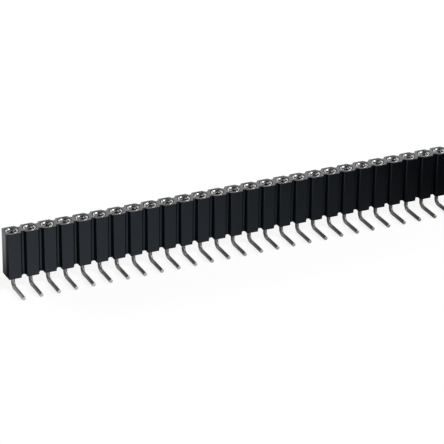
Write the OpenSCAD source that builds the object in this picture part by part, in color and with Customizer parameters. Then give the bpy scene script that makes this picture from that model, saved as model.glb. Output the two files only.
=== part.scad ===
// Right-angle socket strip: one moulded row of turned contacts with tails bent toward the board.
// Frame: X along the row, Z the way the sockets open, the board face is the plane Y = 0.
// The origin is the first tail's axis where it crosses the board face; tails run toward -Y.

/* [Strip] */
// number of contacts in the row
positions = 28; // [2:1:29]
// distance from one contact to the next
pitch = 2.54; // [2.5:0.01:2.8]
// height of the moulding along the sockets
body_h = 6.75; // [6.5:0.05:8]
// depth of the moulding, front face to back face
body_d = 2.5; // [2.4:0.05:3]

/* [Cells] */
// width of the flat face of each cell
flat_l = 1.62; // [1.5:0.02:1.7]
// depth of the grooves between the cells, on the front and on the back
groove_d = 0.48; // [0.3:0.02:0.5]
// how far each groove wall leans in along the row
wall_run = 0.33; // [0.2:0.01:0.34]
// width of the slots across the underside between the cells
notch_w = 0.80; // [0.5:0.02:0.84]
// height of these slots
notch_h = 0.22; // [0.16:0.02:0.45]
// how far each cut end stands inside half a pitch
end_trim = 0.12; // [0.04:0.02:0.16]
// how far the wall at each cut end leans in along the row
end_run = 0.18; // [0.06:0.01:0.24]
// size of the chamfer round each hole in the top face
hole_edge = 0.08; // [0.04:0.01:0.1]
// thickness of the floor that the tails go through
floor_t = 0.60; // [0.5:0.05:0.8]

/* [Contact sleeve] */
// diameter of the flange that shows in the top face
head_d = 1.74; // [1.6:0.02:1.8]
// height of the flange
head_h = 0.90; // [0.6:0.05:1.2]
// size of the broken edge round the flange
rim_edge = 0.06; // [0.02:0.01:0.06]
// how far the flange stands below the top face
head_sink = 0; // [0:0.01:0.12]
// diameter of the sleeve under the flange
sleeve_d = 1.36; // [1.3:0.02:1.4]
// how much the retaining barb stands out from the sleeve
barb_h = 0.03; // [0.02:0.005:0.04]
// length of the slope of the barb
barb_l = 0.40; // [0.3:0.05:0.6]
// distance from the flange down to the barb
barb_drop = 1.20; // [0.8:0.05:1.6]
// height of the cone from the sleeve down to the tail
cone_h = 0.30; // [0.2:0.02:0.4]
// diameter of the mouth at the top of the lead-in cone
mouth_d = 1.40; // [1.3:0.02:1.48]
// depth of the lead-in cone
mouth_h = 0.36; // [0.3:0.02:0.5]
// bore that takes the collar of the spring clip
seat_d = 1.12; // [1.1:0.01:1.16]
// depth of the ledge that the clip collar stands on
seat_z = 1.30; // [1.2:0.05:1.6]
// bore under the ledge
bore_d = 1.02; // [1:0.01:1.04]
// depth of the bore down to its drill point
bore_l = 4.30; // [4.1:0.05:4.6]
// height of the drill point
drill_h = 0.28; // [0.2:0.02:0.3]

/* [Spring clip] */
// sheet thickness of the clip
clip_t = 0.07; // [0.05:0.005:0.08]
// free diameter between the finger ends
land_d = 0.44; // [0.36:0.02:0.48]
// length of the straight finger ends
land_l = 0.55; // [0.4:0.05:0.7]
// length of the tapering fingers
finger_l = 1.75; // [1.4:0.05:1.9]
// width of the slits between the fingers
slit_w = 0.13; // [0.08:0.01:0.16]
// how far the slits run up into the collar
slit_up = 0.30; // [0.2:0.05:0.5]
// height of the step from the fingers out to the collar
step_h = 0.12; // [0.1:0.01:0.16]
// angle from one clip to the next, as they drop in at no set angle
clip_turn = 37; // [0:1:89]

/* [Tail] */
// diameter of the tail
tail_d = 0.55; // [0.4:0.01:0.6]
// distance from the underside of the moulding to the tail axis
tail_drop = 1.60; // [1.5:0.05:2.4]
// distance from the socket axis to the cut tip
tail_reach = 4.23; // [3.6:0.05:6]
// radius of the bend on the tail axis
bend_r = 0.72; // [0.5:0.02:0.8]
// size of the broken edge at the cut tip
tip_edge = 0.05; // [0.02:0.01:0.1]

/* [Fits] */
// radial gap between the moulding and the flange or barb
hole_gap = 0.03; // [0.02:0.005:0.05]
// radial gap between the tail and its hole in the floor
tail_gap = 0.08; // [0.05:0.01:0.15]
// gap between the foot of the sleeve and the floor
foot_gap = 0.05; // [0.02:0.01:0.1]
// radial gap between the clip collar and its bore
seat_gap = 0.005; // [0.002:0.001:0.01]
// radial gap between the finger roots and the bore
root_gap = 0.02; // [0.01:0.005:0.03]
// gap between the lead-in cone and the top of the clip
lip_gap = 0.04; // [0.02:0.01:0.08]

/* [Hidden] */
$fn = 48;
axis_y = body_d / 2;
neck_y = body_d / 2 - groove_d;
row_left = end_trim - pitch / 2;
row_right = (positions - 0.5) * pitch - end_trim;
base_z = tail_drop;
top_z = base_z + body_h;
floor_z = base_z + floor_t;
head_z = top_z - head_sink;
ledge_z = head_z - head_h;
foot_z = floor_z + foot_gap;
head_r = head_d / 2;
sleeve_r = sleeve_d / 2;
barb_r = sleeve_r + barb_h;
mouth_r = mouth_d / 2;
seat_r = seat_d / 2;
bore_r = bore_d / 2;
land_r = land_d / 2;
tail_r = tail_d / 2;
collar_r = seat_r - seat_gap;
root_r = bore_r - root_gap;
over = body_d;

function two(i) = i < 10 ? str("0", i) : str(i);

// Groove walls on either side of a cell in plan; the two outermost walls end at the cut ends.
function left_wall(i) = i == 0
    ? [[row_left, neck_y], [row_left + end_run, body_d / 2]]
    : [[i * pitch - flat_l / 2 - wall_run, neck_y], [i * pitch - flat_l / 2, body_d / 2]];
function right_wall(i) = i == positions - 1
    ? [[row_right - end_run, body_d / 2], [row_right, neck_y]]
    : [[i * pitch + flat_l / 2, body_d / 2], [i * pitch + flat_l / 2 + wall_run, neck_y]];
function back_side() = [for (i = [0:positions - 1]) each concat(left_wall(i), right_wall(i))];
function last_to_first(points) = [for (k = [len(points) - 1:-1:0]) points[k]];

module row_plan() {
    front_side = [for (p = back_side()) [p[0], -p[1]]];
    polygon(concat(front_side, last_to_first(back_side())));
}

// Slot across the underside, from one place along the row to another.
module notch(from, to) {
    translate([from, -over, base_z - over]) cube([to - from, body_d + 2 * over, over + notch_h]);
}

module insulator() {
    color([0.10, 0.11, 0.12]) difference() {
        translate([0, axis_y, base_z]) linear_extrude(body_h) row_plan();
        for (i = [1:positions - 1]) notch((i - 0.5) * pitch - notch_w / 2, (i - 0.5) * pitch + notch_w / 2);
        notch(row_left - over, row_left + end_run);
        notch(row_right - end_run, row_right + over);
        for (i = [0:positions - 1]) translate([i * pitch, axis_y, 0]) {
            translate([0, 0, base_z - over]) cylinder(r = tail_r + tail_gap, h = body_h);
            translate([0, 0, floor_z]) cylinder(r = barb_r + hole_gap, h = body_h);
            translate([0, 0, ledge_z]) cylinder(r = head_r + hole_gap, h = body_h);
            translate([0, 0, top_z - hole_edge]) cylinder(r1 = head_r + hole_gap,
                r2 = head_r + hole_gap + 2 * hole_edge, h = 2 * hole_edge);
        }
    }
}

// Turned contact down to the start of its bend: flange, barb, foot cone and shank,
// with the lead-in cone, clip seat and blind bore inside.
module turned_profile() {
    barb_z = ledge_z - barb_drop;
    seat = head_z - seat_z;
    drill_z = head_z - bore_l;
    polygon([
        [mouth_r, head_z], [head_r - rim_edge, head_z], [head_r, head_z - rim_edge],
        [head_r, ledge_z], [sleeve_r, ledge_z],
        [sleeve_r, barb_z], [barb_r, barb_z], [sleeve_r, barb_z - barb_l],
        [sleeve_r, foot_z + cone_h], [tail_r, foot_z], [tail_r, bend_r], [0, bend_r],
        [0, drill_z - drill_h], [bore_r, drill_z], [bore_r, seat],
        [seat_r, seat], [seat_r, head_z - mouth_h]]);
}

module bent_tail() {
    translate([0, -bend_r, bend_r]) rotate([0, 90, 0])
        rotate_extrude(angle = 90) translate([bend_r, 0]) circle(r = tail_r);
    translate([0, -bend_r, 0]) rotate([90, 0, 0])
        cylinder(r = tail_r, h = tail_reach - bend_r - tip_edge);
    translate([0, tip_edge - tail_reach, 0]) rotate([90, 0, 0])
        cylinder(r1 = tail_r, r2 = tail_r - tip_edge, h = tip_edge);
}

module contact() {
    color([0.78, 0.78, 0.76]) union() {
        rotate_extrude() turned_profile();
        bent_tail();
    }
}

// Pressed spring clip: a collar on the ledge and four fingers that close toward the pin.
module clip() {
    lip = head_z - mouth_h - lip_gap;
    seat = head_z - seat_z;
    land_top = seat - finger_l;
    land_end = land_top - land_l;
    color([0.86, 0.70, 0.42]) difference() {
        rotate_extrude() polygon([
            [collar_r - clip_t, lip], [collar_r, lip], [collar_r, seat], [root_r, seat],
            [land_r + clip_t, land_top], [land_r + clip_t, land_end],
            [land_r, land_end], [land_r, land_top],
            [root_r - clip_t, seat], [collar_r - clip_t, seat + step_h]]);
        for (a = [45, 135]) rotate([0, 0, a])
            translate([-seat_d, -slit_w / 2, land_end - land_l])
                cube([2 * seat_d, slit_w, land_l + seat + slit_up - land_end]);
    }
}

module at_position(i) {
    translate([(i - 1) * pitch, axis_y, 0]) children();
}

insulator();
for (i = [1:positions]) {
    at_position(i) contact();
    at_position(i) rotate([0, 0, (i - 1) * clip_turn]) clip();
}
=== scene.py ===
import math

import bmesh
import bpy
from mathutils import Matrix, Vector


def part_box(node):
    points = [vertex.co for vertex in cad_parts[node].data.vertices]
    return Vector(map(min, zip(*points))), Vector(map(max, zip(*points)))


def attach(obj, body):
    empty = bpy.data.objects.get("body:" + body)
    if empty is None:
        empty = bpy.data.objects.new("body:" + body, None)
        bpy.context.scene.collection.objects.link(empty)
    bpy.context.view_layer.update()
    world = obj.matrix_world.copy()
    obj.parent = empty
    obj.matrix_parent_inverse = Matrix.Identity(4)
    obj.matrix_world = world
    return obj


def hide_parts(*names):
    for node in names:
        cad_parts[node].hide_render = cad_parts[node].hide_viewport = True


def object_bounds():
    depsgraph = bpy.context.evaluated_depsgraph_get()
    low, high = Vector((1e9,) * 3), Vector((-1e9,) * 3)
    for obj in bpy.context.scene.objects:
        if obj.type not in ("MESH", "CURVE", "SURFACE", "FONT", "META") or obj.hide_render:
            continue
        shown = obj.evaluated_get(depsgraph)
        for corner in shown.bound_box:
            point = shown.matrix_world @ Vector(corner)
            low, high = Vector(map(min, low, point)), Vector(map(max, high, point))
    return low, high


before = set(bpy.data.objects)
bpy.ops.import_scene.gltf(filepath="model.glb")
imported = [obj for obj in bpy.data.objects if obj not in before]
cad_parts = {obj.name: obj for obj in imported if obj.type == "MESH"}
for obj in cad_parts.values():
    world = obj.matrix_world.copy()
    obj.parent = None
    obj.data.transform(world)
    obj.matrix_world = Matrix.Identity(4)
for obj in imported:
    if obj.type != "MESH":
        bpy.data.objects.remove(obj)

cad_low, cad_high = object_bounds()

# Sizes of the strip in metres, read from the frame where it gives them
MM = 0.001
contact_nodes = sorted(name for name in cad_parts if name.startswith("contact_"))
clip_nodes = sorted(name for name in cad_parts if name.startswith("clip_"))
body_low, body_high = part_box("insulator")
first_low, first_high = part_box(contact_nodes[0])
second_low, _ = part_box(contact_nodes[1])
POSITIONS = len(contact_nodes)
PITCH = second_low.x - first_low.x
AXIS_X = (first_low.x + first_high.x) / 2
AXIS_Y = (body_low.y + body_high.y) / 2
TOP_Z = body_high.z
BASE_Z = body_low.z
HEAD_Z = first_high.z

# Moulding
HALF_DEPTH = (body_high.y - body_low.y) / 2
FLAT = 1.62 * MM
GROOVE = 0.48 * MM
WALL_RUN = 0.33 * MM
NOTCH_W = 0.80 * MM
NOTCH_H = 0.22 * MM
END_X = AXIS_X - body_low.x
END_RUN = 0.18 * MM
FLOOR_T = 0.60 * MM
HOLE_EDGE = 0.08 * MM
HOLE_GAP = 0.03 * MM
TAIL_GAP = 0.08 * MM
MOULD_EDGE = 0.030 * MM
EDGE_SEGMENTS = 2
EDGE_ANGLE = math.radians(30)

# Contact sleeve and tail
HEAD_R = (first_high.x - first_low.x) / 2
HEAD_H = 0.90 * MM
SLEEVE_R = 0.68 * MM
BARB_R = 0.71 * MM
BARB_DROP = 1.20 * MM
BARB_LENGTH = 0.40 * MM
FOOT_GAP = 0.05 * MM
CONE_H = 0.30 * MM
MOUTH_R = 0.70 * MM
MOUTH_H = 0.36 * MM
SEAT_R = 0.56 * MM
SEAT_DEPTH = 1.30 * MM
BORE_R = 0.51 * MM
BORE_DEPTH = 4.30 * MM
DRILL_POINT = 0.28 * MM
LIP_ROUND = 0.085 * MM
RIM_ROUND = 0.08 * MM
TAIL_R = 0.275 * MM
BEND_R = 0.72 * MM
TIP_EDGE = 0.05 * MM
TAIL_AXIS_Z = first_low.z + TAIL_R
TIP_REACH = AXIS_Y - first_low.y

# Spring clip
SEAT_GAP = 0.005 * MM
ROOT_GAP = 0.02 * MM
LIP_GAP = 0.04 * MM
CLIP_T = 0.07 * MM
LAND_R = 0.22 * MM
LAND_LENGTH = 0.55 * MM
FINGER_LENGTH = 1.75 * MM
STEP_H = 0.12 * MM
SLIT = 0.13 * MM
SLIT_UP = 0.30 * MM
FINGERS = 4
FIRST_SLIT = math.radians(45)
CLIP_TURN = math.radians(37)

# Mesh fineness
TURNED_STEPS = 48
BEND_STEPS = 10
ROUND_STEPS = 3
CELL_STEP = math.radians(8.0)
FINGER_STEPS = 6
SMOOTH_ANGLE = math.radians(34)
SAME = 1e-8
JOIN_DISTANCE = 1e-6
ANGLE_DIGITS = 9
TINY = 1e-12

# Black plastic: each pair is what the noise moves between, and scales are waves per metre
PLASTIC_COLOURS = (0.003, 0.0036, 0.0046), (0.005, 0.006, 0.0074)
PLASTIC_ROUGHNESS = 0.16, 0.25
PLASTIC_TINT = (0.72, 0.85, 1.0, 1)
PLASTIC_GRAIN = 9000
FLOW_SCALE = 420
FLOW_STRETCH = (1, 1, 0.35)
PLASTIC_BUMP = 0.15
BUMP_DEPTH = 0.01 * MM

# Tin plate: it goes dull over a stretch below the sleeve, in millimetres, and rings are waves per millimetre
HEAD_COLOURS = (0.44, 0.437, 0.429), (0.54, 0.537, 0.524)
TAIL_COLOURS = (0.34, 0.338, 0.331), (0.42, 0.417, 0.407)
BARE_COLOURS = (0.60, 0.595, 0.58), (0.70, 0.695, 0.68)
HEAD_ROUGHNESS = 0.30, 0.22
TAIL_ROUGHNESS = 0.64, 0.54
DULL_START = 0.65
DULL_END = 1.5
RING_STRETCH = (3, 1, 1)
RING_SCALE = 14
PATCH_SCALE = 1500
TIN_BUMP = 0.08

# Gold plate of the clips, darkened well below gold as painted shade for the inside of the bore
PAINTED_SHADE_GOLD_COLOURS = (0.40, 0.34, 0.24), (0.50, 0.44, 0.33)
GOLD_ROUGHNESS = 0.14, 0.26
WEAR_SCALE = 2600
GOLD_BUMP = 0.10

# Table, and the painted light that mirrors see on it: a painted fall-off along the row, and a painted shadow
# behind the strip
TABLE_HALF = 3.0
TABLE_COLOURS = (0.24, 0.24, 0.24), (0.26, 0.26, 0.26)
TABLE_ROUGHNESS = 0.9
TABLE_GRAIN = 300
FLOOR_GLOW = 0.85
PAINTED_LIGHT_NEAR = 0.90
PAINTED_LIGHT_FAR = 0.03
PAINTED_SHADOW_LEVEL = 0.02
PAINTED_SHADOW_LENGTH = 19 * MM

# Studio round the table: heights and depths are parts of a unit direction
WORLD_FILL = 0.10
OVERHEAD = 0.15
CEILING_START = 0.04
CEILING_END = 0.30
DARK_SIDE = 0.20
ROOM_FRONT = -0.5
ROOM_BACK = 0.3

# Softboxes: name, place from the middle of the strip, width, height and radiance
SOFTBOXES = (
    ("back_softbox", (0.16, 0.34, 0.19), 0.30, 0.16, 1.8),
    ("key_softbox", (0.62, -0.46, 0.54), 0.80, 0.72, 4.2),
    ("right_softbox", (0.30, -0.24, 0.12), 0.16, 0.16, 1.6),
    ("left_softbox", (-0.26, 0.26, 0.14), 0.16, 0.16, 4.0),
)

# Camera as solved from the photo, which is taken to be 444 pixels square
CAMERA_YAW = math.radians(25.285)
CAMERA_RISE = math.radians(26.156)
CAMERA_ROLL = math.radians(0.85)
CAMERA_DISTANCE = 331.9 * MM
IMAGE_PIXELS = 444
FOCAL_PIXELS = 2359.9
SENSOR = 36.0
AIM_ALONG_ROW = 31.32 * MM
AIM_ABOVE_BASE = 1.925 * MM
CLIP_START = 0.01
CLIP_END = 20.0

# Noise mostly lies between these values
NOISE_LOW = 0.3
NOISE_HIGH = 0.7

# Places of a mix node's first input, second input and result
MIX_SOCKETS = {"FLOAT": (2, 3, 0), "RGBA": (6, 7, 2)}


def new_material(name):
    material = bpy.data.materials.new(name)
    material.use_nodes = True
    tree = material.node_tree
    return material, tree, tree.nodes["Principled BSDF"]


def add_node(tree, kind, **settings):
    node = tree.nodes.new(kind)
    for key, value in settings.items():
        setattr(node, key, value)
    return node


def feed(tree, socket, value):
    """Links another node's output to a socket, or sets the socket to a plain value."""
    if isinstance(value, bpy.types.NodeSocket):
        tree.links.new(value, socket)
    else:
        socket.default_value = value


def feed_all(tree, node, values):
    """The same for several inputs of a node, by name or by place."""
    for key, value in values.items():
        feed(tree, node.inputs[key], value)


def calculated(tree, operation, first, second):
    node = add_node(tree, "ShaderNodeMath", operation=operation)
    feed_all(tree, node, {0: first, 1: second})
    return node.outputs["Value"]


def mixed(tree, factor, first, second, kind="RGBA"):
    node = add_node(tree, "ShaderNodeMix", data_type=kind)
    first_place, second_place, result = MIX_SOCKETS[kind]
    feed_all(tree, node, {0: factor, first_place: first, second_place: second})
    return node.outputs[result]


def two_colours(tree, factor, colours):
    first, second = colours
    return mixed(tree, factor, (*first, 1), (*second, 1))


def ramp(tree, value, start, end, low=0.0, high=1.0, **settings):
    """Low up to the start, high from the end on, and a slope from one to the other between them."""
    node = add_node(tree, "ShaderNodeMapRange", **settings)
    feed_all(tree, node, {"Value": value, "From Min": start, "From Max": end, "To Min": low, "To Max": high})
    return node.outputs["Result"]


def spread(tree, value, low=0.0, high=1.0):
    """Maps the usual range of a noise value onto low to high."""
    return ramp(tree, value, NOISE_LOW, NOISE_HIGH, low, high)


def noise(tree, vector, scale, detail=3.0, roughness=0.5):
    node = add_node(tree, "ShaderNodeTexNoise")
    feed_all(tree, node, {"Vector": vector, "Scale": scale, "Detail": detail, "Roughness": roughness})
    return node.outputs["Fac"]


def bump(tree, shader, height, strength):
    node = add_node(tree, "ShaderNodeBump")
    feed_all(tree, node, {"Height": height, "Strength": strength, "Distance": BUMP_DEPTH})
    tree.links.new(node.outputs["Normal"], shader.inputs["Normal"])


def stretched(tree, vector, scale):
    mapping = add_node(tree, "ShaderNodeMapping")
    mapping.inputs["Scale"].default_value = scale
    tree.links.new(vector, mapping.inputs["Vector"])
    return mapping.outputs["Vector"]


def object_coordinates(tree):
    return add_node(tree, "ShaderNodeTexCoord").outputs["Object"]


def parts_of(tree, vector):
    node = add_node(tree, "ShaderNodeSeparateXYZ")
    tree.links.new(vector, node.inputs["Vector"])
    return node.outputs


def emission(tree, strength):
    node = add_node(tree, "ShaderNodeEmission")
    tree.links.new(strength, node.inputs["Strength"])
    return node.outputs["Emission"]


def rays_of(tree, *kinds):
    """1 for the rays of these kinds, 0 for all other rays."""
    path = add_node(tree, "ShaderNodeLightPath")
    total = path.outputs[kinds[0]]
    for kind in kinds[1:]:
        total = calculated(tree, "MAXIMUM", total, path.outputs[kind])
    return total


def moulded_black():
    """Glass-filled black plastic: a fine even grain with faint cloudiness from the flow of the melt."""
    material, tree, shader = new_material("moulded_black")
    place = object_coordinates(tree)
    grain = noise(tree, place, PLASTIC_GRAIN, detail=4.0, roughness=0.6)
    flow = noise(tree, stretched(tree, place, FLOW_STRETCH), FLOW_SCALE)
    tree.links.new(two_colours(tree, spread(tree, flow), PLASTIC_COLOURS), shader.inputs["Base Color"])
    tree.links.new(spread(tree, grain, *PLASTIC_ROUGHNESS), shader.inputs["Roughness"])
    shader.inputs["Specular IOR Level"].default_value = 0.5
    shader.inputs["Specular Tint"].default_value = PLASTIC_TINT
    bump(tree, shader, grain, PLASTIC_BUMP)
    return material


def tin_plate():
    """Tin over turned brass: fine turning rings and duller patches, a dull tail and a bright cut tip."""
    material, tree, shader = new_material("tin_plate")
    turned = add_node(tree, "ShaderNodeUVMap", uv_map="turning").outputs["UV"]
    rings = noise(tree, stretched(tree, turned, RING_STRETCH), RING_SCALE, roughness=0.6)
    patches = noise(tree, object_coordinates(tree), PATCH_SCALE)
    along = parts_of(tree, turned)["Y"]
    lengths = lengths_along(contact_places())
    foot = lengths[len(sleeve_profile()) - 1]
    dulled = ramp(tree, along, foot + DULL_START, foot + DULL_END)
    cut = ramp(tree, along, lengths[-2], lengths[-1])
    patchy = spread(tree, patches)
    head = two_colours(tree, patchy, HEAD_COLOURS)
    tail = two_colours(tree, patchy, TAIL_COLOURS)
    bare = two_colours(tree, patchy, BARE_COLOURS)
    colour = mixed(tree, cut, mixed(tree, dulled, head, tail), bare)
    tree.links.new(colour, shader.inputs["Base Color"])
    head_finish = spread(tree, patches, *HEAD_ROUGHNESS)
    tail_finish = spread(tree, patches, *TAIL_ROUGHNESS)
    finish = mixed(tree, dulled, head_finish, tail_finish, "FLOAT")
    tree.links.new(finish, shader.inputs["Roughness"])
    shader.inputs["Metallic"].default_value = 1.0
    bump(tree, shader, rings, TIN_BUMP)
    return material


def gold_flash():
    """Thin gold plate on the pressed clip, darkened all over as painted shade inside the bore, and paler
    where it is worn.
    """
    material, tree, shader = new_material("gold_flash")
    worn = noise(tree, object_coordinates(tree), WEAR_SCALE)
    tree.links.new(two_colours(tree, spread(tree, worn), PAINTED_SHADE_GOLD_COLOURS), shader.inputs["Base Color"])
    tree.links.new(spread(tree, worn, *GOLD_ROUGHNESS), shader.inputs["Roughness"])
    shader.inputs["Metallic"].default_value = 1.0
    bump(tree, shader, worn, GOLD_BUMP)
    return material


def white_table():
    """White to the camera, with the strip's cast shadow; mirrors see a painted glow instead, with painted
    light falling off along the row and a painted shadow behind the strip.
    """
    material, tree, shader = new_material("white_table")
    link = tree.links.new
    place = object_coordinates(tree)
    link(two_colours(tree, noise(tree, place, TABLE_GRAIN), TABLE_COLOURS), shader.inputs["Base Color"])
    shader.inputs["Roughness"].default_value = TABLE_ROUGHNESS
    shader.inputs["Specular IOR Level"].default_value = 0.0
    glow = calculated(tree, "MULTIPLY", rays_of(tree, "Is Camera Ray"), FLOOR_GLOW)
    lit = add_node(tree, "ShaderNodeAddShader")
    link(shader.outputs["BSDF"], lit.inputs[0])
    link(emission(tree, glow), lit.inputs[1])

    # Seen in mirrors only: painted light that falls off along the row, and a painted shadow behind the strip
    parts = parts_of(tree, place)
    painted_falloff = ramp(tree, parts["X"], cad_low.x, cad_high.x, PAINTED_LIGHT_NEAR, PAINTED_LIGHT_FAR)
    painted_shadow = ramp(tree, parts["Y"], 0.0, PAINTED_SHADOW_LENGTH, PAINTED_SHADOW_LEVEL, interpolation_type="SMOOTHSTEP")
    in_front = calculated(tree, "LESS_THAN", parts["Y"], 0.0)
    outside_painted_shadow = calculated(tree, "MAXIMUM", painted_shadow, in_front)
    painted_reflection = emission(tree, calculated(tree, "MULTIPLY", painted_falloff, outside_painted_shadow))

    either = add_node(tree, "ShaderNodeMixShader")
    link(rays_of(tree, "Is Glossy Ray", "Is Transmission Ray"), either.inputs[0])
    link(lit.outputs["Shader"], either.inputs[1])
    link(painted_reflection, either.inputs[2])
    link(either.outputs["Shader"], tree.nodes["Material Output"].inputs["Surface"])
    return material


# Half a cell along the row, from its axis: end of the flat, foot of the wall, outer edge, slot wall
JOINED_SIDE = (FLAT / 2, FLAT / 2 + WALL_RUN, PITCH / 2, PITCH / 2 - NOTCH_W / 2)
END_SIDE = (END_X - END_RUN, END_X, END_X, END_X - END_RUN)
NECK_Y = HALF_DEPTH - GROOVE


def upper_radius(angle, side):
    """Distance from the socket axis to the outline of the cell with its half necks."""
    flat_x, foot_x, edge_x, _ = side
    c, s = max(abs(math.cos(angle)), TINY), max(abs(math.sin(angle)), TINY)
    if s * edge_x <= c * NECK_Y:
        return edge_x / c
    if s * foot_x <= c * NECK_Y:
        return NECK_Y / s
    if s * flat_x <= c * HALF_DEPTH:
        run = foot_x - flat_x
        return (GROOVE * flat_x + run * HALF_DEPTH) / (GROOVE * c + run * s)
    return HALF_DEPTH / s


def lower_radius(angle, side):
    """The same for the foot of the cell, which the slots of the underside leave."""
    slot_x = side[-1]
    return min(upper_radius(angle, side), slot_x / max(abs(math.cos(angle)), TINY))


def corner_angles(side):
    """Angles in a quarter of the plan at which its outlines turn a corner."""
    flat_x, foot_x, edge_x, slot_x = side
    slot_y = HALF_DEPTH - GROOVE * (slot_x - flat_x) / (foot_x - flat_x)
    corners = ((edge_x, NECK_Y), (foot_x, NECK_Y), (slot_x, slot_y), (flat_x, HALF_DEPTH))
    return [math.atan2(y, x) for x, y in corners]


def plan_angles(left, right):
    """Angles round the axis that hold every corner, with even steps between corners."""
    corners = [turn for a in corner_angles(right) for turn in (a, math.tau - a)]
    corners += [turn for a in corner_angles(left) for turn in (math.pi - a, math.pi + a)]
    corners = sorted(set(round(a, ANGLE_DIGITS) for a in corners))
    angles = []
    for start, end in zip(corners, corners[1:] + [corners[0] + math.tau]):
        steps = max(1, round((end - start) / CELL_STEP))
        angles += [start + (end - start) * step / steps for step in range(steps)]
    return angles


def cell_mesh(name, left, right):
    """One cell of the moulding round its socket axis, open where it joins the next cell."""
    angles = plan_angles(left, right)
    bm = bmesh.new()

    def ring(z, radius=None, outline=None):
        made = []
        for angle in angles:
            side = right if math.cos(angle) > 0 else left
            r = radius if outline is None else outline(angle, side)
            made.append(bm.verts.new((r * math.cos(angle), r * math.sin(angle), z)))
        return made

    def on_joint(vertex):
        return abs(abs(vertex.co.x) - PITCH / 2) < JOIN_DISTANCE / 10

    bore_r, counterbore_r, tail_hole_r = BARB_R + HOLE_GAP, HEAD_R + HOLE_GAP, TAIL_R + TAIL_GAP
    ledge_z, floor_z, slot_z = HEAD_Z - HEAD_H, BASE_Z + FLOOR_T, BASE_Z + NOTCH_H
    rings = [
        ring(TOP_Z, outline=upper_radius), ring(TOP_Z, counterbore_r + HOLE_EDGE),
        ring(TOP_Z - HOLE_EDGE, counterbore_r), ring(ledge_z, counterbore_r),
        ring(ledge_z, bore_r), ring(floor_z, bore_r), ring(floor_z, tail_hole_r), ring(BASE_Z, tail_hole_r),
        ring(BASE_Z, outline=lower_radius), ring(slot_z, outline=lower_radius),
        ring(slot_z, outline=upper_radius)]
    for first, second in zip(rings, rings[1:] + rings[:1]):
        for here in range(len(angles)):
            there = (here + 1) % len(angles)
            corners = [first[here], second[here], second[there], first[there]]
            if first is rings[-1] and all(on_joint(v) for v in corners):
                continue
            bm.faces.new(corners)
    return finished_mesh(bm, name)


def finished_mesh(bm, name):
    bmesh.ops.remove_doubles(bm, verts=bm.verts, dist=SAME)
    bmesh.ops.dissolve_degenerate(bm, edges=bm.edges, dist=SAME)
    bmesh.ops.recalc_face_normals(bm, faces=bm.faces)
    mesh = bpy.data.meshes.new(name)
    bm.to_mesh(mesh)
    bm.free()
    return mesh


def rounded(before, corner, after, radius):
    """Points of a small arc in place of a corner of a turned profile."""
    before, corner, after = Vector(before), Vector(corner), Vector(after)
    start = corner + (before - corner).normalized() * radius
    end = corner + (after - corner).normalized() * radius
    points = []
    for step in range(ROUND_STEPS + 1):
        t = step / ROUND_STEPS
        points.append(start * (1 - t) ** 2 + corner * 2 * t * (1 - t) + end * t ** 2)
    return points


def sleeve_profile():
    """Radius and height from the bottom of the bore, up inside, over the rim and down to the tail."""
    seat_z, ledge_z, drill_z = HEAD_Z - SEAT_DEPTH, HEAD_Z - HEAD_H, HEAD_Z - BORE_DEPTH
    barb_z = ledge_z - BARB_DROP
    foot_z = BASE_Z + FLOOR_T + FOOT_GAP
    inside = [(0.0, drill_z - DRILL_POINT), (BORE_R, drill_z), (BORE_R, seat_z), (SEAT_R, seat_z),
              (SEAT_R, HEAD_Z - MOUTH_H)]
    mouth, rim, shoulder = (MOUTH_R, HEAD_Z), (HEAD_R, HEAD_Z), (HEAD_R, ledge_z)
    lip = rounded(inside[-1], mouth, rim, LIP_ROUND) + rounded(mouth, rim, shoulder, RIM_ROUND)
    outside = [shoulder, (SLEEVE_R, ledge_z), (SLEEVE_R, barb_z), (BARB_R, barb_z),
               (SLEEVE_R, barb_z - BARB_LENGTH), (SLEEVE_R, foot_z + CONE_H), (TAIL_R, foot_z)]
    return [Vector(p) for p in inside] + lip + [Vector(p) for p in outside]


def tail_rings():
    """Place, height, turn and radius of each ring of the tail, round the bend to the cut tip."""
    quarter = math.radians(90)
    rings = []
    for step in range(BEND_STEPS + 1):
        turn = quarter * step / BEND_STEPS
        y, z = BEND_R * math.cos(turn) - BEND_R, TAIL_AXIS_Z + BEND_R - BEND_R * math.sin(turn)
        rings.append((y, z, turn, TAIL_R))
    rings.append((TIP_EDGE - TIP_REACH, TAIL_AXIS_Z, quarter, TAIL_R))
    rings.append((-TIP_REACH, TAIL_AXIS_Z, quarter, TAIL_R - TIP_EDGE))
    return rings


def contact_places():
    """Rings of a whole contact: place across the board, height, turn and radius."""
    return [(0.0, z, 0.0, radius) for radius, z in sleeve_profile()] + tail_rings()


def lengths_along(places):
    """Length in millimetres along the outline from the bottom of the bore to each ring."""
    spots = [(y, z, radius) for y, z, _, radius in places]
    lengths = [0.0]
    for here, there in zip(spots, spots[1:]):
        lengths.append(lengths[-1] + math.dist(here, there) / MM)
    return lengths


def contact_mesh():
    """One turned sleeve with its bent tail, as one closed surface with a map along its turning."""
    bm = bmesh.new()
    turning = bm.loops.layers.uv.new("turning")
    places = contact_places()
    lengths = lengths_along(places)
    rows = []
    for y, z, turn, radius in places:
        row = []
        for step in range(TURNED_STEPS):
            angle = math.tau * step / TURNED_STEPS
            across, along = radius * math.cos(angle), radius * math.sin(angle)
            row.append(bm.verts.new((across, y + along * math.cos(turn), z - along * math.sin(turn))))
        rows.append(row)
    for index in range(len(rows) - 1):
        upper, lower = rows[index], rows[index + 1]
        for step in range(TURNED_STEPS):
            after = (step + 1) % TURNED_STEPS
            face = bm.faces.new((upper[step], upper[after], lower[after], lower[step]))
            spots = ((step, index), (step + 1, index), (step + 1, index + 1), (step, index + 1))
            for loop, (u, row) in zip(face.loops, spots):
                loop[turning].uv = (u / TURNED_STEPS, lengths[row])
    cut = bm.faces.new(rows[-1])
    for loop in cut.loops:
        loop[turning].uv = (0.5, lengths[-1])
    return finished_mesh(bm, "contact")


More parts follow.
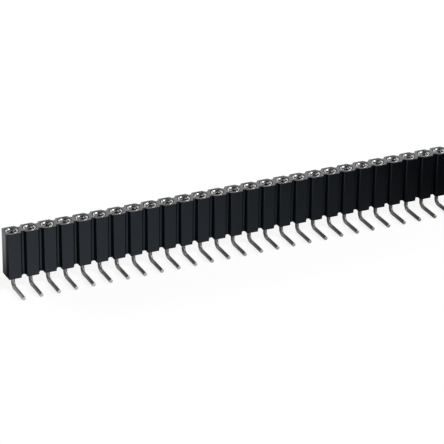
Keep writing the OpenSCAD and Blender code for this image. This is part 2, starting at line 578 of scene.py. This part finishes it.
def clip_mesh():
    """One pressed clip: a collar slit into four fingers that close to a short straight end."""
    seat_z = HEAD_Z - SEAT_DEPTH
    land_top = seat_z - FINGER_LENGTH
    collar_r, root_r = SEAT_R - SEAT_GAP, BORE_R - ROOT_GAP
    # Outer radius, inner radius and height of each level, from the collar's top down
    collar = [(collar_r, collar_r - CLIP_T, HEAD_Z - MOUTH_H - LIP_GAP),
              (collar_r, collar_r - CLIP_T, seat_z + SLIT_UP)]
    finger = [(collar_r, collar_r - CLIP_T, seat_z + STEP_H), (root_r, root_r - CLIP_T, seat_z),
              (LAND_R + CLIP_T, LAND_R, land_top), (LAND_R + CLIP_T, LAND_R, land_top - LAND_LENGTH)]
    bm = bmesh.new()

    def arc(radius, z, quadrant):
        gap = math.asin(SLIT / 2 / radius)
        start = FIRST_SLIT + quadrant * math.tau / FINGERS + gap
        sweep = math.tau / FINGERS - 2 * gap
        made = []
        for step in range(FINGER_STEPS + 1):
            angle = start + sweep * step / FINGER_STEPS
            made.append(bm.verts.new((radius * math.cos(angle), radius * math.sin(angle), z)))
        return made

    def strip(first, second):
        for a, b, c, d in zip(first, first[1:], second[1:], second):
            bm.faces.new((a, b, c, d))

    collars = []
    for quadrant in range(FINGERS):
        outer_rows = [arc(outer, z, quadrant) for outer, inner, z in collar]
        inner_rows = [arc(inner, z, quadrant) for outer, inner, z in collar]
        collars.append((outer_rows, inner_rows))
        strip(*outer_rows)
        strip(*inner_rows)
        strip(outer_rows[0], inner_rows[0])
        outer_rows = [outer_rows[-1]] + [arc(outer, z, quadrant) for outer, inner, z in finger]
        inner_rows = [inner_rows[-1]] + [arc(inner, z, quadrant) for outer, inner, z in finger]
        for rows in (outer_rows, inner_rows):
            for upper, lower in zip(rows, rows[1:]):
                strip(upper, lower)
        strip(outer_rows[-1], inner_rows[-1])
        for end in (0, -1):
            strip([row[end] for row in outer_rows], [row[end] for row in inner_rows])
    for (outer, inner), (next_outer, next_inner) in zip(collars, collars[1:] + collars[:1]):
        for rows, next_rows in ((outer, next_outer), (inner, next_inner)):
            bm.faces.new((rows[0][-1], next_rows[0][0], next_rows[1][0], rows[1][-1]))
        for level in (0, 1):
            bm.faces.new((outer[level][-1], next_outer[level][0], next_inner[level][0], inner[level][-1]))
    return finished_mesh(bm, "clip")


def row_tree():
    """Node tree that sets a piece at every position of the strip, with other pieces for the two ends."""
    tree = bpy.data.node_groups.new("strip_row", "GeometryNodeTree")
    sockets = {}
    for name, kind in (("First piece", "Object"), ("Middle piece", "Object"), ("Last piece", "Object"),
                       ("Positions", "Int"), ("First axis", "Vector"), ("Pitch", "Float"), ("Turn", "Float"),
                       ("Join distance", "Float"), ("Finish", "Material")):
        sockets[name] = tree.interface.new_socket(name, in_out="INPUT", socket_type="NodeSocket" + kind)
    tree.interface.new_socket("Geometry", in_out="OUTPUT", socket_type="NodeSocketGeometry")
    given = tree.nodes.new("NodeGroupInput").outputs
    result = tree.nodes.new("NodeGroupOutput")
    link = tree.links.new

    step = add_node(tree, "ShaderNodeCombineXYZ")
    link(given["Pitch"], step.inputs["X"])
    line = add_node(tree, "GeometryNodeMeshLine")
    link(given["Positions"], line.inputs["Count"])
    link(given["First axis"], line.inputs["Start Location"])
    link(step.outputs["Vector"], line.inputs["Offset"])

    index = add_node(tree, "GeometryNodeInputIndex").outputs["Index"]
    turn = add_node(tree, "ShaderNodeCombineXYZ")
    link(calculated(tree, "MULTIPLY", index, given["Turn"]), turn.inputs["Z"])

    is_first = add_node(tree, "FunctionNodeCompare", data_type="INT", operation="EQUAL")
    link(index, is_first.inputs[2])
    is_last = add_node(tree, "FunctionNodeCompare", data_type="INT", operation="EQUAL")
    link(index, is_last.inputs[2])
    link(calculated(tree, "SUBTRACT", given["Positions"], 1), is_last.inputs[3])
    is_middle = add_node(tree, "FunctionNodeBooleanMath", operation="NOR")
    link(is_first.outputs["Result"], is_middle.inputs[0])
    link(is_last.outputs["Result"], is_middle.inputs[1])

    together = add_node(tree, "GeometryNodeJoinGeometry")
    for name, chosen in (("First piece", is_first.outputs["Result"]),
                         ("Middle piece", is_middle.outputs["Boolean"]),
                         ("Last piece", is_last.outputs["Result"])):
        piece = add_node(tree, "GeometryNodeObjectInfo")
        link(given[name], piece.inputs["Object"])
        place = add_node(tree, "GeometryNodeInstanceOnPoints")
        link(line.outputs["Mesh"], place.inputs["Points"])
        link(chosen, place.inputs["Selection"])
        link(piece.outputs["Geometry"], place.inputs["Instance"])
        link(turn.outputs["Vector"], place.inputs["Rotation"])
        link(place.outputs["Instances"], together.inputs["Geometry"])

    realize = add_node(tree, "GeometryNodeRealizeInstances")
    link(together.outputs["Geometry"], realize.inputs["Geometry"])
    join = add_node(tree, "GeometryNodeMergeByDistance")
    link(realize.outputs["Geometry"], join.inputs["Geometry"])
    link(given["Join distance"], join.inputs["Distance"])
    finish = add_node(tree, "GeometryNodeSetMaterial")
    link(join.outputs["Geometry"], finish.inputs["Geometry"])
    link(given["Finish"], finish.inputs["Material"])
    link(finish.outputs["Geometry"], result.inputs["Geometry"])
    return tree, {name: socket.identifier for name, socket in sockets.items()}


def linked_object(name, data):
    made = bpy.data.objects.new(name, data)
    bpy.context.scene.collection.objects.link(made)
    return made


def plain_mesh(obj, name):
    """The evaluated object as a plain mesh on a new object at the origin."""
    bpy.context.view_layer.update()
    graph = bpy.context.evaluated_depsgraph_get()
    mesh = bpy.data.meshes.new_from_object(obj.evaluated_get(graph))
    bpy.data.objects.remove(obj)
    mesh.name = name
    return linked_object(name, mesh)


def row_of(name, first, middle, last, material, turn=0.0, join_distance=0.0):
    """Repeats unit meshes along the strip and gives the finished row as one object."""
    units = [linked_object(name + "_unit", mesh) for mesh in (first, middle, last)]
    carrier = linked_object(name + "_row", bpy.data.meshes.new(name + "_row"))
    modifier = carrier.modifiers.new("row", "NODES")
    modifier.node_group = ROW_TREE
    values = {"First piece": units[0], "Middle piece": units[1], "Last piece": units[2],
              "Positions": POSITIONS, "First axis": (AXIS_X, AXIS_Y, 0.0), "Pitch": PITCH,
              "Turn": turn, "Join distance": join_distance, "Finish": material}
    for key, value in values.items():
        modifier[ROW_INPUTS[key]] = value
    row = plain_mesh(carrier, name)
    for unit in units:
        bpy.data.objects.remove(unit)
    return row


def smooth(obj):
    obj.data.polygons.foreach_set("use_smooth", [True] * len(obj.data.polygons))


def with_round_edges(obj):
    """The object with its edges rounded, shaded so that its large faces stay flat to the eye."""
    smooth(obj)
    modifier = obj.modifiers.new("edges", "BEVEL")
    modifier.width = MOULD_EDGE
    modifier.segments = EDGE_SEGMENTS
    modifier.limit_method = "ANGLE"
    modifier.angle_limit = EDGE_ANGLE
    modifier.use_clamp_overlap = False
    modifier.miter_outer = "MITER_ARC"
    obj.modifiers.new("flat_faces", "WEIGHTED_NORMAL")
    return plain_mesh(obj, obj.name)


def with_sharp_corners(obj):
    """The object smooth on its curves, with its corners kept sharp."""
    smooth(obj)
    obj.data.set_sharp_from_angle(angle=SMOOTH_ANGLE)
    return obj


def hand_over(obj, nodes):
    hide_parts(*nodes)
    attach(obj, "root")


def build_moulding():
    first = cell_mesh("first_cell", END_SIDE, JOINED_SIDE)
    middle = cell_mesh("middle_cell", JOINED_SIDE, JOINED_SIDE)
    last = cell_mesh("last_cell", JOINED_SIDE, END_SIDE)
    row = row_of("moulding", first, middle, last, moulded_black(), join_distance=JOIN_DISTANCE)
    hand_over(with_round_edges(row), ["insulator"])


def build_contacts():
    unit = contact_mesh()
    row = row_of("turned_contacts", unit, unit, unit, tin_plate())
    hand_over(with_sharp_corners(row), contact_nodes)


def build_clips():
    unit = clip_mesh()
    row = row_of("spring_clips", unit, unit, unit, gold_flash(), turn=CLIP_TURN)
    hand_over(with_sharp_corners(row), clip_nodes)


def build_floor():
    """White table top under the tails."""
    mesh = bpy.data.meshes.new("table_top")
    ways = ((-1, -1), (1, -1), (1, 1), (-1, 1))
    mesh.from_pydata([(x * TABLE_HALF, y * TABLE_HALF, cad_low.z) for x, y in ways], [], [(0, 1, 2, 3)])
    mesh.materials.append(white_table())
    floor = linked_object("table_top", mesh)


def build_world():
    """White all round for the camera; reflections see it white at the horizon and darker overhead."""
    world = bpy.data.worlds.new("studio")
    bpy.context.scene.world = world
    world.use_nodes = True
    tree = world.node_tree
    background = tree.nodes["Background"]
    background.inputs["Color"].default_value = (1, 1, 1, 1)
    parts = parts_of(tree, add_node(tree, "ShaderNodeTexCoord").outputs["Generated"])
    ceiling = ramp(tree, parts["Z"], CEILING_START, CEILING_END, 1.0, OVERHEAD)
    room = ramp(tree, parts["Y"], ROOM_FRONT, ROOM_BACK, DARK_SIDE, 1.0)
    walls = calculated(tree, "MULTIPLY", ceiling, room)
    mirrors = rays_of(tree, "Is Glossy Ray", "Is Transmission Ray")
    reflected = mixed(tree, mirrors, WORLD_FILL, walls, "FLOAT")
    shown = mixed(tree, rays_of(tree, "Is Camera Ray"), reflected, 1.0, "FLOAT")
    tree.links.new(shown, background.inputs["Strength"])


def build_lights():
    """Rectangular lamps of even brightness, turned to the strip; their power follows from their size."""
    middle = (cad_low + cad_high) / 2
    for name, place, width, height, radiance in SOFTBOXES:
        data = bpy.data.lights.new(name, "AREA")
        data.shape = "RECTANGLE"
        data.size, data.size_y = width, height
        data.energy = radiance * math.pi * width * height
        lamp = linked_object(name, data)
        lamp.location = middle + Vector(place)
        lamp.rotation_euler = (-Vector(place)).to_track_quat("-Z", "Y").to_euler()


def build_camera():
    level_part = math.cos(CAMERA_RISE)
    ahead = Vector((math.sin(CAMERA_YAW) * level_part, math.cos(CAMERA_YAW) * level_part,
                    -math.sin(CAMERA_RISE)))
    level = Vector((math.cos(CAMERA_YAW), -math.sin(CAMERA_YAW), 0))
    upright = level.cross(ahead)
    right = level * math.cos(CAMERA_ROLL) + upright * math.sin(CAMERA_ROLL)
    up = upright * math.cos(CAMERA_ROLL) - level * math.sin(CAMERA_ROLL)
    aim = Vector((AXIS_X + AIM_ALONG_ROW, AXIS_Y, BASE_Z + AIM_ABOVE_BASE))
    data = bpy.data.cameras.new("camera")
    data.sensor_width = SENSOR
    data.lens = FOCAL_PIXELS / IMAGE_PIXELS * SENSOR
    data.clip_start, data.clip_end = CLIP_START, CLIP_END
    camera = linked_object("camera", data)
    turn = Matrix((right, up, -ahead)).transposed().to_4x4()
    camera.matrix_world = Matrix.Translation(aim - ahead * CAMERA_DISTANCE) @ turn
    bpy.context.scene.camera = camera


bpy.context.scene.view_settings.view_transform = "Standard"
ROW_TREE, ROW_INPUTS = row_tree()
build_camera()
build_moulding()
build_contacts()
build_clips()
build_floor()
build_world()
build_lights()
